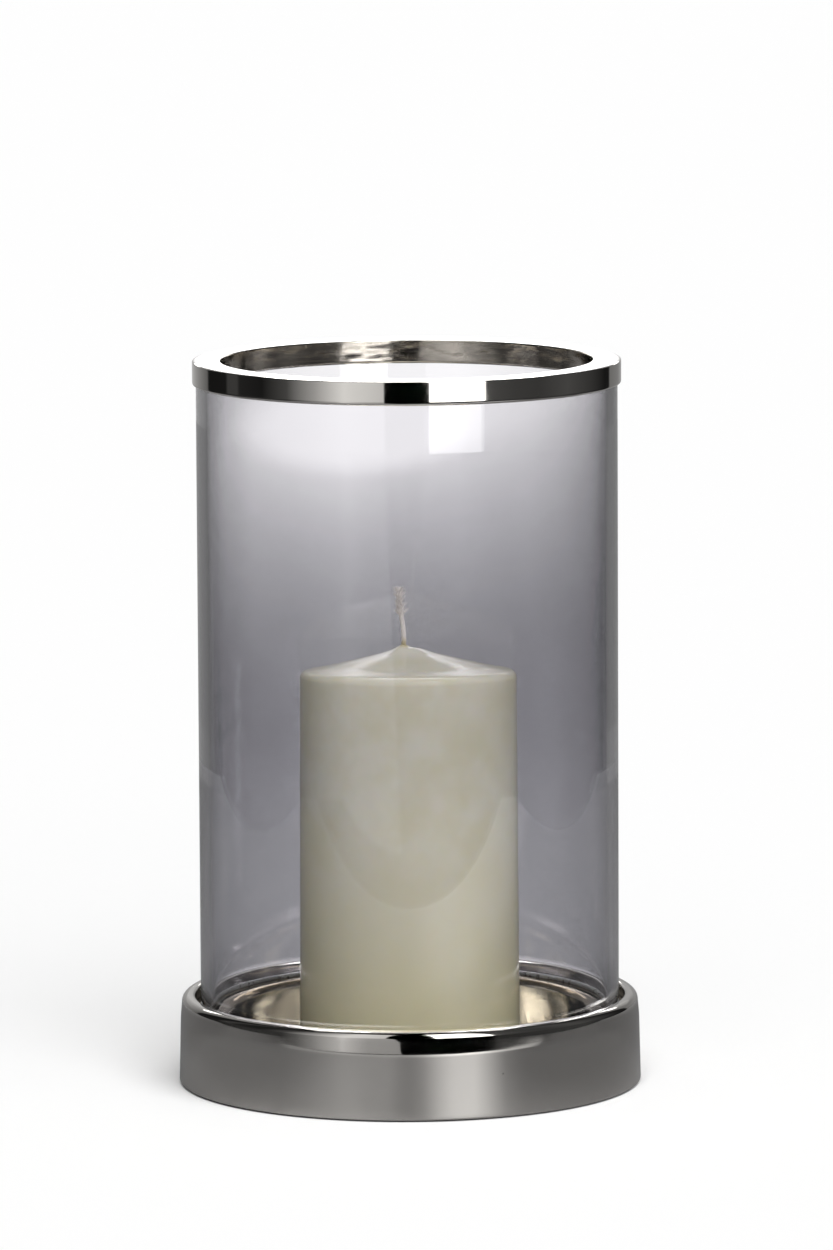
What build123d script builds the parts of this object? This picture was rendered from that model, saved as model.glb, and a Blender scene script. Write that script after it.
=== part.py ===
"""Table hurricane lamp: metal base, glass cylinder, metal top ring and a pillar candle.

Millimetres, +Z up. The origin is on the table under the lamp's axis.
"""
import os
from math import cos, radians, sin, tan

from build123d import *

# Glass cylinder
glass_radius = 76.5
glass_wall = 4.0
glass_length = 234.0
glass_edge_round = 1.6

# Soft rings between glass and metal
cushion_thickness = 1.0
cushion_overhang = 0.1

# Base ring
foot_lift = 0.4
foot_round = 0.8
base_height = 32.4
base_draft_angle = 1.4
base_wall = 5.0
rim_width = 4.8
rim_lean_angle = 5.0
rim_lean_height = 8.4
rim_lean_round = 30.0
rim_outer_round = 2.8
rim_inner_round = 1.2
rim_to_glass_gap = 1.9
shelf_thickness = 3.0
shelf_root_round = 1.5

# Drip tray, spun from sheet
tray_sheet = 1.2
tray_floor_space = 5.1
tray_ledge_step = 8.0
tray_corner_round = 3.0
tray_edge_round = 2.4
tray_below_rim = 4.4
tray_clearance = 0.3

# Underside: felt, plate, screws and standoffs
felt_thickness = 1.2
felt_margin = 0.5
plate_thickness = 2.0
plate_rabbet = 1.5
plate_clearance = 0.3
fixing_count = 3
fixing_inset = 14.5
screw_radius = 1.5
screw_head_radius = 2.75
screw_tip_gap = 1.1
screw_slot_width = 0.8
screw_slot_depth = 0.6
screw_hole_clearance = 0.15
thread_clearance = 0.05
standoff_radius = 4.0
standoff_gap = 0.4

# Top ring, an inverted channel over the glass's upper edge
ring_sheet = 1.0
ring_inner_gap = 4.0
ring_depth = 8.7
ring_clearance = 0.3
ring_edge_round = 0.4
ring_hem_round = 0.7

# Pillar candle
candle_foot_radius = 40.3
candle_taper = 0.7
candle_height = 150.0
candle_foot_round = 1.0
candle_shoulder_round = 3.2
candle_slope_angle = 14.1
candle_mound_radius = 10.2
candle_mound_height = 2.0
candle_mound_top_radius = 4.0
candle_mound_foot_round = 12.0
candle_mound_top_round = 4.0

# Wick
wick_radius = 1.2
wick_fit = 0.05
wick_offset = 1.6
wick_stub = 23.0
wick_lean_angle = 8.0
wick_bend_radius = 100.0
wick_foot_recess = 1.0

# Heights that the pieces share
plate_bottom_z = felt_thickness
plate_top_z = plate_bottom_z + plate_thickness
tray_underside_z = plate_top_z + tray_floor_space
floor_z = tray_underside_z + tray_sheet
ledge_z = base_height - tray_below_rim
glass_bottom_z = ledge_z + cushion_thickness
glass_top_z = glass_bottom_z + glass_length
ring_ceiling_z = glass_top_z + cushion_thickness
ring_top_z = ring_ceiling_z + ring_sheet
candle_top_z = floor_z + candle_height

# Radii that the pieces share
glass_bore_radius = glass_radius - glass_wall
rim_inner_radius = glass_radius + rim_to_glass_gap
rim_radius = rim_inner_radius + rim_width
lean_foot_z = base_height - rim_lean_height
lean_foot_radius = rim_radius + rim_lean_height * tan(radians(rim_lean_angle))
foot_radius = lean_foot_radius + (lean_foot_z - foot_lift) * tan(radians(base_draft_angle))
tray_radius = glass_bore_radius - tray_ledge_step
rabbet_radius = foot_radius - base_wall + plate_rabbet
plate_radius = rabbet_radius - plate_clearance
wall_back_radius = tray_radius + tray_sheet
tray_bend_radius = max(tray_radius + tray_edge_round, wall_back_radius)
cushion_inner_radius = glass_bore_radius - cushion_overhang
cushion_outer_radius = glass_radius + cushion_overhang


def limited(rounding, wall, share):
    """A rounding, kept within a share of the wall that it is on."""
    return min(rounding, share * wall)


def turned(corners):
    """Solid turned about Z from (radius, height, corner rounding) triples, in order round its section."""
    points = [(radius, height) for radius, height, _ in corners]
    roundings = [rounding for _, _, rounding in corners]
    outline = FilletPolyline(*points, radius=roundings, close=True)
    return revolve(Plane.XZ * make_face(outline.edges()), axis=Axis.Z)


def flat_ring(inner_radius, outer_radius, bottom_z, thickness):
    """Plain washer-shaped solid."""
    top_z = bottom_z + thickness
    return turned([
        (inner_radius, bottom_z, 0),
        (outer_radius, bottom_z, 0),
        (outer_radius, top_z, 0),
        (inner_radius, top_z, 0),
    ])


def post(radius, bottom_z, top_z):
    """Upright cylinder on the Z axis between two heights."""
    upright = Cylinder(radius, top_z - bottom_z, align=(Align.CENTER, Align.CENTER, Align.MIN))
    return Pos(0, 0, bottom_z) * upright


def at_fixings(solid):
    """One copy of a solid at each place on the fixing circle."""
    return Part() + PolarLocations(tray_radius - fixing_inset, fixing_count) * solid


def make_base_ring():
    """Outer ring: tapered wall that leans in under a rounded rim, tray shelf and plate rabbet."""
    shelf_top_z = ledge_z - tray_sheet
    shelf_bottom_z = shelf_top_z - shelf_thickness
    shelf_radius = tray_bend_radius + tray_clearance
    bore_radius = foot_radius - base_wall
    return turned([
        (rabbet_radius, foot_lift, 0),
        (foot_radius, foot_lift, foot_round),
        (lean_foot_radius, lean_foot_z, rim_lean_round),
        (rim_radius, base_height, limited(rim_outer_round, rim_width, 0.6)),
        (rim_inner_radius, base_height, limited(rim_inner_round, rim_width, 0.3)),
        (rim_inner_radius, shelf_top_z, 0),
        (shelf_radius, shelf_top_z, 0),
        (shelf_radius, shelf_bottom_z, 0),
        (bore_radius, shelf_bottom_z, shelf_root_round),
        (bore_radius, plate_top_z, 0),
        (rabbet_radius, plate_top_z, 0),
    ])


def make_drip_tray():
    """Dished sheet: flange on the ring's shelf, upright wall and flat floor."""
    flange_radius = rim_inner_radius - tray_clearance
    return turned([
        (0, floor_z, 0),
        (tray_radius, floor_z, tray_corner_round),
        (tray_radius, ledge_z, tray_edge_round),
        (flange_radius, ledge_z, 0),
        (flange_radius, ledge_z - tray_sheet, 0),
        (wall_back_radius, ledge_z - tray_sheet, tray_bend_radius - wall_back_radius),
        (wall_back_radius, tray_underside_z, tray_corner_round + tray_sheet),
        (0, tray_underside_z, 0),
    ])


def make_tray_standoffs():
    """Threaded posts under the tray, drawn with a plain bore."""
    bottom_z = plate_top_z + standoff_gap
    bore = post(screw_radius + thread_clearance, bottom_z, tray_underside_z)
    return at_fixings(post(standoff_radius, bottom_z, tray_underside_z) - bore)


def countersunk_shape(growth, top_z):
    """Countersunk head and shank, grown sideways by a clearance."""
    shank_radius = screw_radius + growth
    head_radius = screw_head_radius + growth
    cone_top_z = plate_bottom_z + head_radius - shank_radius
    return turned([
        (0, plate_bottom_z, 0),
        (head_radius, plate_bottom_z, 0),
        (shank_radius, cone_top_z, 0),
        (shank_radius, top_z, 0),
        (0, top_z, 0),
    ])


def make_bottom_plate():
    """Disc in the ring's rabbet, with countersunk holes."""
    disc = post(plate_radius, plate_bottom_z, plate_top_z)
    return disc - at_fixings(countersunk_shape(screw_hole_clearance, plate_top_z))


def make_plate_screws():
    """Countersunk slotted screws from the plate into the standoffs."""
    slot_size = (2 * screw_head_radius, screw_slot_width, screw_slot_depth)
    slot = Pos(0, 0, plate_bottom_z) * Box(*slot_size, align=(Align.CENTER, Align.CENTER, Align.MIN))
    screw = countersunk_shape(0, tray_underside_z - screw_tip_gap) - slot
    return at_fixings(screw)


def make_felt_pad():
    """Felt disc under the plate, standing a little proud of the ring's foot."""
    return post(rabbet_radius - felt_margin, 0, felt_thickness)


def make_glass_shade():
    """Glass cylinder with fire-polished ends."""
    rounding = limited(glass_edge_round, glass_wall, 0.45)
    return turned([
        (glass_bore_radius, glass_bottom_z, rounding),
        (glass_radius, glass_bottom_z, rounding),
        (glass_radius, glass_top_z, rounding),
        (glass_bore_radius, glass_top_z, rounding),
    ])


def make_top_ring():
    """Cap ring: flat top with an outer and an inner skirt."""
    skirt_radius = glass_radius + ring_clearance
    outer_radius = skirt_radius + ring_sheet
    inner_skirt_radius = glass_bore_radius - ring_inner_gap
    inner_radius = inner_skirt_radius - ring_sheet
    hem_z = ring_top_z - ring_depth
    hem_round = limited(ring_hem_round, ring_sheet, 0.8)
    return turned([
        (skirt_radius, hem_z, 0),
        (outer_radius, hem_z, hem_round),
        (outer_radius, ring_top_z, ring_edge_round),
        (inner_radius, ring_top_z, ring_edge_round),
        (inner_radius, hem_z, hem_round),
        (inner_skirt_radius, hem_z, 0),
        (inner_skirt_radius, ring_ceiling_z, 0),
        (skirt_radius, ring_ceiling_z, 0),
    ])


def make_candle_wax():
    """Pillar candle: slightly tapered side, rounded shoulder, sloping top and a mound, bored for the wick."""
    mound_foot_z = candle_top_z - candle_mound_height
    candle_shoulder_radius = candle_foot_radius - candle_taper
    slope_drop = (candle_shoulder_radius - candle_mound_radius) * tan(radians(candle_slope_angle))
    pillar = turned([
        (0, floor_z, 0),
        (candle_foot_radius, floor_z, candle_foot_round),
        (candle_shoulder_radius, mound_foot_z - slope_drop, candle_shoulder_round),
        (candle_mound_radius, mound_foot_z, candle_mound_foot_round),
        (candle_mound_top_radius, candle_top_z, candle_mound_top_round),
        (0, candle_top_z, 0),
    ])
    bore = post(wick_radius + wick_fit, floor_z, candle_top_z)
    return pillar - Pos(-wick_offset, 0, 0) * bore


def make_candle_wick():
    """Wick, a little off the axis: upright through the wax, then a free stub that leans towards -X."""
    foot_z = floor_z + wick_foot_recess
    lean = radians(wick_lean_angle)
    knee = wick_bend_radius * tan(lean / 2)
    stub_run = wick_stub - knee
    start = (-wick_offset, foot_z)
    corner = (-wick_offset, candle_top_z + knee)
    tip = (-wick_offset - stub_run * sin(lean), candle_top_z + knee + stub_run * cos(lean))
    path = Plane.XZ * FilletPolyline(start, corner, tip, radius=[wick_bend_radius])
    section = Plane(origin=(-wick_offset, 0, foot_z), z_dir=(0, 0, 1)) * Circle(wick_radius)
    return sweep(section, path=path)


nodes = {
    "base_ring": make_base_ring,
    "drip_tray": make_drip_tray,
    "tray_standoffs": make_tray_standoffs,
    "bottom_plate": make_bottom_plate,
    "plate_screws": make_plate_screws,
    "felt_pad": make_felt_pad,
    "glass_seat": lambda: flat_ring(cushion_inner_radius, cushion_outer_radius, ledge_z, cushion_thickness),
    "glass_shade": make_glass_shade,
    "top_ring": make_top_ring,
    "ring_cushion": lambda: flat_ring(cushion_inner_radius, cushion_outer_radius, glass_top_z, cushion_thickness),
    "candle_wax": make_candle_wax,
    "candle_wick": make_candle_wick,
}

os.makedirs("parts", exist_ok=True)
for name, make in nodes.items():
    export_step(make(), f"parts/{name}.step")
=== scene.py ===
"""Glass candle lamp: the looks of its metal base, glass shade, top ring and pillar candle.

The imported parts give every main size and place, in metres, +Z up, with the axis of the lamp on Z.
Each piece is turned or swept here as its own closed mesh and rides on the part that it stands for.
"""
import math
import random

import bpy
from bpy.props import FloatProperty, FloatVectorProperty, IntProperty, PointerProperty
from mathutils import Matrix, Vector, noise


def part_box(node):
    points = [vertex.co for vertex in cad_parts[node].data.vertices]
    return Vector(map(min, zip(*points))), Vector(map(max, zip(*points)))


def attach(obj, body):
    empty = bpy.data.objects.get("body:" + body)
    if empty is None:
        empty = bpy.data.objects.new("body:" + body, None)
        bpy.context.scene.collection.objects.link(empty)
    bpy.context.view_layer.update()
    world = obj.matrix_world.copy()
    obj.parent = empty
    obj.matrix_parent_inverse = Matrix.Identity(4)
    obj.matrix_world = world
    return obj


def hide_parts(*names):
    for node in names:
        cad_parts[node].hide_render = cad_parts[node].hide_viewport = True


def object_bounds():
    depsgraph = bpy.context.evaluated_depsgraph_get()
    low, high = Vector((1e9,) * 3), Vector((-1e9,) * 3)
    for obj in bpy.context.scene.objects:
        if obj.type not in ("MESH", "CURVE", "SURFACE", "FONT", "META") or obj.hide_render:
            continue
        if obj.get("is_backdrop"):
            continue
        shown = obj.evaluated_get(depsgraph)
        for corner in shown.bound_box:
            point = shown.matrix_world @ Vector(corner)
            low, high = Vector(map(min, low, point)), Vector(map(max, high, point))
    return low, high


bl_info = {
    "name": "Candle Lamp Looks",
    "version": (1, 0, 0),
    "blender": (4, 5, 0),
    "location": "3D View > Sidebar > Candle Lamp",
    "description": "Builds the visible pieces of a glass candle lamp on its packed parts",
    "category": "Object",
}

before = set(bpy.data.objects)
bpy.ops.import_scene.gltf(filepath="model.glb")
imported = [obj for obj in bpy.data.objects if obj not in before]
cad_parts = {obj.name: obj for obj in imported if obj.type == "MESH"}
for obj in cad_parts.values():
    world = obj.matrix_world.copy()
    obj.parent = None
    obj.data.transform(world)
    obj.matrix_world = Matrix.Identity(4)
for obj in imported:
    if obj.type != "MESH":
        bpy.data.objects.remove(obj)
CAD_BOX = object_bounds()
MM = 0.001
TURN = 2 * math.pi
ARC_STEP = math.radians(9)
SHARP_ANGLE = math.radians(38)
BLACK = (0.0, 0.0, 0.0, 1.0)
WHITE = (1.0, 1.0, 1.0, 1.0)
METAL = {"Metallic": 1.0}


def number_setting(name, description, default, **limits):
    """Plain number property."""
    return FloatProperty(name=name, description=description, default=default, **limits)


def length_setting(name, description, default_mm):
    """Length property, given in millimetres and kept in metres."""
    return number_setting(name, description, default_mm * MM, unit="LENGTH", precision=5)


def angle_setting(name, description, degrees):
    """Angle property, given in degrees."""
    return number_setting(name, description, math.radians(degrees), subtype="ANGLE")


def share_setting(name, description, default):
    """Number from 0 to 1."""
    return number_setting(name, description, default, min=0.0, max=1.0, subtype="FACTOR")


def colour_setting(name, description, default):
    """Colour property in scene-linear red, green and blue."""
    return FloatVectorProperty(
        name=name, description=description, default=default, size=3, min=0.0, max=1.0, subtype="COLOR"
    )


class LampMetalSettings(bpy.types.PropertyGroup):
    """Sizes and finish of the base ring, drip tray, top ring and underside."""

    nickel_colour: colour_setting("Nickel", "Colour of the polished nickel", (0.70, 0.675, 0.64))
    tray_colour: colour_setting("Tray", "Colour of the satin nickel of the tray", (0.75, 0.715, 0.62))
    # Painted reflection: the ledge's warm brown stands in for the tan reflection on the tray's ledge and
    # dims its highlight
    ledge_colour: colour_setting("Ledge", "Warm tarnish on the tray's ledge", (0.44, 0.34, 0.20))
    steel_colour: colour_setting("Steel", "Colour of the plain steel under the base", (0.50, 0.50, 0.51))
    felt_colour: colour_setting("Felt", "Colour of the felt under the base", (0.018, 0.018, 0.020))
    silicone_colour: colour_setting("Silicone", "Tint of the clear rings at the glass", (0.88, 0.88, 0.86))
    polish_roughness: share_setting("Polish", "Roughness of the polished nickel", 0.035)
    tray_roughness: share_setting("Tray Finish", "Roughness of the tray", 0.05)
    inside_colour: colour_setting("Ring Inside", "Colour of the ring's rough inside", (0.68, 0.635, 0.56))
    inside_roughness: share_setting("Inside Finish", "Roughness of the inside of the top ring", 0.13)
    rim_width: length_setting("Rim Width", "Width of the base ring's rim", 4.8)
    rim_gap: length_setting("Rim Gap", "Room between the glass and the base ring's rim", 1.9)
    rim_lean: angle_setting("Rim Lean", "Inward lean of the wall under the rim", 5.0)
    rim_lean_height: length_setting("Lean Height", "Height of the leaning band under the rim", 8.4)
    rim_lean_round: length_setting("Lean Rounding", "Rounding where the wall starts to lean", 30.0)
    rim_outer_round: length_setting("Rim Rounding", "Outer rounding of the rim", 2.8)
    rim_inner_round: length_setting("Rim Inner Rounding", "Inner rounding of the rim", 1.2)
    foot_round: length_setting("Foot Rounding", "Rounding of the base ring's foot", 0.8)
    base_wall: length_setting("Base Wall", "Thickness of the base ring at its foot", 5.0)
    shelf_thickness: length_setting("Shelf", "Thickness of the shelf under the tray's flange", 3.0)
    shelf_root_round: length_setting("Shelf Root", "Rounding under the shelf", 1.5)
    tray_sheet: length_setting("Tray Sheet", "Thickness of the tray's sheet", 1.2)
    tray_step: length_setting("Tray Step", "Distance from the glass bore in to the tray's wall", 8.0)
    tray_corner_round: length_setting("Tray Corner", "Rounding at the foot of the tray's wall", 3.0)
    tray_edge_round: length_setting("Tray Edge", "Rounding at the top of the tray's wall", 2.4)
    fit_clearance: length_setting("Fit Clearance", "Room between pieces that fit in each other", 0.3)
    ring_sheet: length_setting("Ring Sheet", "Thickness of the top ring's sheet", 1.0)
    ring_edge_round: length_setting("Ring Edge", "Rounding of the top ring's upper edges", 0.6)
    ring_hem_round: length_setting("Ring Hem", "Rounding of the top ring's lower edges", 0.95)
    ring_inner_gap: length_setting("Ring Inner Gap", "Room between the glass and the inner skirt", 4.0)
    polish_wave: length_setting("Polish Wave", "Depth of the unevenness left by polishing", 0.035)
    cast_wave: length_setting("Cast Wave", "Depth of the unevenness inside the top ring", 0.3)


class LampGlassSettings(bpy.types.PropertyGroup):
    """Sizes of the glass shade and its tint, which paints in the shade of the darker backdrop seen through
    the glass.
    """

    wall: length_setting("Glass Wall", "Thickness of the glass", 4.0)
    edge_round: length_setting("Edge Rounding", "Rounding of the fire-polished ends", 1.6)
    wave: length_setting("Glass Wave", "Depth of the glass's unevenness", 0.03)
    # Painted shade: the grey tint, deepening downward, stands in for the darker backdrop seen through the
    # glass
    backdrop_shade_colour: colour_setting("Smoke", "Tint of one wall where the smoke is full", (0.488, 0.484, 0.510))
    foot_colour: colour_setting("Foot", "Tint of one wall at the foot", (0.559, 0.555, 0.580))
    clear_colour: colour_setting("Clear", "Tint of one wall at the top", (0.99, 0.98, 1.0))
    foot_top: length_setting("Foot Top", "Height where the foot's tint starts to deepen", 75.0)
    backdrop_shade_bottom: length_setting("Smoke Bottom", "Height above the table where the smoke is full", 132.0)
    backdrop_shade_top: length_setting("Smoke Top", "Height above the table where the smoke starts to fade", 139.5)
    clear_bottom: length_setting("Clear Bottom", "Height above the table where the glass is clear", 243.7)
    backdrop_shade_tilt: number_setting("Smoke Tilt", "Slope of the smoke's edge", 0.16)
    edge_shade: share_setting("Edge Shade", "How much the tint deepens at the sides of the glass", 1.0)
    clear_foot: length_setting("Clear Foot", "Height above the table of the clear edge at the foot", 33.6)
    # Painted highlight: a bright patch under the top ring, where the glass's tint clears
    highlight_x: length_setting("Cloud Across", "Middle of the bright cloud under the top ring, along X", -19.0)
    highlight_z: length_setting("Cloud Height", "Height of the bright cloud's middle on the axis", 240.0)
    highlight_half_width: length_setting("Cloud Half Width", "Half the width of the bright cloud", 40.0)
    highlight_half_height: length_setting("Cloud Half Height", "Half the height of the bright cloud", 15.5)
    highlight_slope: number_setting("Cloud Slope", "Fall of the bright cloud to the back", 0.11)
    refraction: number_setting("IOR", "Refractive index of the glass", 1.48, min=1.0)


class LampCandleSettings(bpy.types.PropertyGroup):
    """Sizes and colours of the candle and its wick."""

    wax_colour: colour_setting("Wax", "Colour of the wax", (0.93, 0.895, 0.755))
    wax_foot_colour: colour_setting("Wax Foot", "Colour of the wax near the tray", (0.82, 0.77, 0.50))
    wax_stain_colour: colour_setting("Wax Stain", "Colour of the wax round the wick", (0.52, 0.43, 0.20))
    wick_colour: colour_setting("Wick", "Colour of the cotton", (0.94, 0.89, 0.86))
    taper: length_setting("Taper", "How much narrower the candle is at its shoulder", 0.7)
    foot_round: length_setting("Foot Rounding", "Rounding of the candle's foot", 1.0)
    shoulder_round: length_setting("Shoulder", "Rounding of the candle's shoulder", 3.2)
    slope: angle_setting("Slope", "Slope of the candle's top", 13.6)
    mound_radius: length_setting("Mound Radius", "Radius of the mound at the wick", 10.2)
    mound_height: length_setting("Mound Height", "Height of the mound at the wick", 2.0)
    mound_top: length_setting("Mound Top", "Radius of the mound's flat top", 4.0)
    mound_foot_round: length_setting("Mound Foot", "Rounding at the mound's foot", 12.0)
    mound_top_round: length_setting("Mound Crest", "Rounding at the mound's top", 4.0)
    top_tilt: angle_setting("Top Tilt", "How far the candle's top tips away from the camera", 4.5)
    lip_start: length_setting("Lip Start", "Radius where the candle's top starts to flatten", 30.0)
    lip_angle: angle_setting("Lip Angle", "How much flatter the candle's top is at its shoulder", 5.0)
    wax_wave: length_setting("Wax Wave", "Depth of the wax's unevenness", 0.12)
    wick_radius: length_setting("Wick Radius", "Radius of the wick's hole in the wax", 1.2)
    braid_radius: length_setting("Braid Radius", "Radius of the yarns that make up the wick", 0.88)
    wick_strands: IntProperty(name="Strands", description="Yarns in the braid", default=3, min=2)
    fray_fibres: IntProperty(name="Fibres", description="Loose fibres at its end", default=130, min=0)
    fray_length: length_setting("Fray Length", "Length of the frayed end", 10.0)


class LampStageSettings(bpy.types.PropertyGroup):
    """Camera, floor and light."""

    camera_distance: length_setting("Camera Distance", "Distance of the camera from the axis", 3107.7)
    camera_height: length_setting("Camera Height", "Height of the camera above the table", 590.0)
    camera_pitch: angle_setting("Camera Pitch", "How far the camera looks down", 7.739)
    camera_roll: angle_setting("Camera Roll", "Roll of the camera", 0.300)
    camera_yaw: angle_setting("Camera Yaw", "How far the camera looks to the right", 0.0577)
    camera_lens: number_setting("Lens", "Focal length in millimetres", 248.16)
    floor_colour: colour_setting("Floor", "Colour of the floor", (0.97, 0.97, 0.97))
    floor_bounce: colour_setting("Floor Bounce", "Colour that the floor throws back", (0.36, 0.36, 0.37))
    key_strength: number_setting("Key", "Strength of the soft key light", 3.0)
    fill_strength: number_setting("Fill", "Strength of the low front light", 0.6)
    sky_strength: number_setting("Sky", "Strength of the light from all round", 0.25)


def radius_and_heights(node):
    """Outer radius, lowest height and highest height of a turned node of the frame."""
    low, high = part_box(node)
    return high.x, low.z, high.z


def glass_radius():
    """Outer radius of the glass."""
    return radius_and_heights("glass_shade")[0]


def glass_bore():
    """Inner radius of the glass."""
    return glass_radius() - bpy.context.scene.lamp_glass.wall


def tray_wall():
    """Radius of the tray's wall."""
    return glass_bore() - bpy.context.scene.lamp_metal.tray_step


def rim_bore():
    """Inner radius of the base ring's rim."""
    return glass_radius() + bpy.context.scene.lamp_metal.rim_gap


def wick_foot():
    """Place along X where the wick leaves the wax."""
    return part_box("candle_wick")[1].x - bpy.context.scene.lamp_candle.wick_radius


def band_corners(inner, outer, bottom, top, rounding):
    """Corners of a plain band's section, all with one rounding."""
    places = ((inner, bottom), (outer, bottom), (outer, top), (inner, top))
    return [(radius, height, rounding) for radius, height in places]


def rounded_outline(corners):
    """Points of a closed outline from (radius, height, rounding) corners, with an arc at each rounding."""
    points = []
    count = len(corners)
    for index, (radius, height, rounding) in enumerate(corners):
        corner = Vector((radius, height))
        if rounding <= 0:
            points.append(corner)
            continue
        to_last = (Vector(corners[index - 1][:2]) - corner).normalized()
        to_next = (Vector(corners[(index + 1) % count][:2]) - corner).normalized()
        half = to_last.angle(to_next) / 2
        centre = corner + (to_last + to_next).normalized() * (rounding / math.sin(half))
        spoke = corner + to_last * (rounding / math.tan(half)) - centre
        sweep = math.pi - 2 * half
        turn = math.copysign(sweep, to_next.cross(to_last))
        steps = max(3, math.ceil(sweep / ARC_STEP))
        for step in range(steps + 1):
            points.append(centre + Matrix.Rotation(turn * step / steps, 2) @ spoke)
    return points


def divided(points, longest):
    """The closed outline with extra points, so that no run off the axis is longer than given."""
    result = []
    for here, following in zip(points, points[1:] + points[:1]):
        result.append(here)
        if here.x <= 0 and following.x <= 0:
            continue
        pieces = math.ceil((following - here).length / longest)
        result += [here.lerp(following, piece / pieces) for piece in range(1, pieces)]
    return result


def unmoved(radius, height, angle):
    """Shift that leaves a turned point in its place."""
    return radius, height


def turned_mesh(name, corners, segments, longest=math.inf, shift=unmoved):
    """Closed mesh turned about Z from the corners of its section, in anticlockwise order.

    Longer runs than given are divided, shift moves each point, and points on the axis become poles.
    """
    vertices, faces, rings = [], [], []
    for point in divided(rounded_outline(corners), longest):
        if point.x <= 0:
            rings.append([len(vertices)] * segments)
            vertices.append((0.0, 0.0, shift(0.0, point.y, 0.0)[1]))
            continue
        rings.append(list(range(len(vertices), len(vertices) + segments)))
        for segment in range(segments):
            angle = TURN * segment / segments
            radius, height = shift(point.x, point.y, angle)
            vertices.append((radius * math.cos(angle), radius * math.sin(angle), height))
    for ring, following in zip(rings, rings[1:] + rings[:1]):
        if ring[0] == ring[1] and following[0] == following[1]:
            continue
        for segment in range(segments):
            beside = (segment + 1) % segments
            face = (ring[segment], ring[beside], following[beside], following[segment])
            faces.append(tuple(dict.fromkeys(face)))
    return finished_mesh(name, vertices, faces)


def finished_mesh(name, vertices, faces):
    """Mesh with smooth faces and sharp edges at real corners."""
    mesh = bpy.data.meshes.new(name)
    mesh.from_pydata(vertices, [], faces)
    mesh.validate()
    mesh.shade_smooth()
    mesh.set_sharp_from_angle(angle=SHARP_ANGLE)
    return mesh


def place_piece(mesh, body, nodes, slot, *materials):
    """Object, named like its mesh, that stands for nodes of the frame and rides on their body."""
    piece = bpy.data.objects.new(mesh.name, mesh)
    bpy.context.scene.collection.objects.link(piece)
    for material in materials:
        mesh.materials.append(material)
    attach(piece, body)
    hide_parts(*nodes)


def swell(angle, height, around, upward, seed):
    """Smooth noise from 0 to 1 on a turned wall, with so many swells around and per metre upward."""
    spot = Vector((math.cos(angle) * around, math.sin(angle) * around, height * upward))
    return 0.5 + 0.5 * noise.noise(spot + Vector((seed, 2 * seed, 0.0)))


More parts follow.
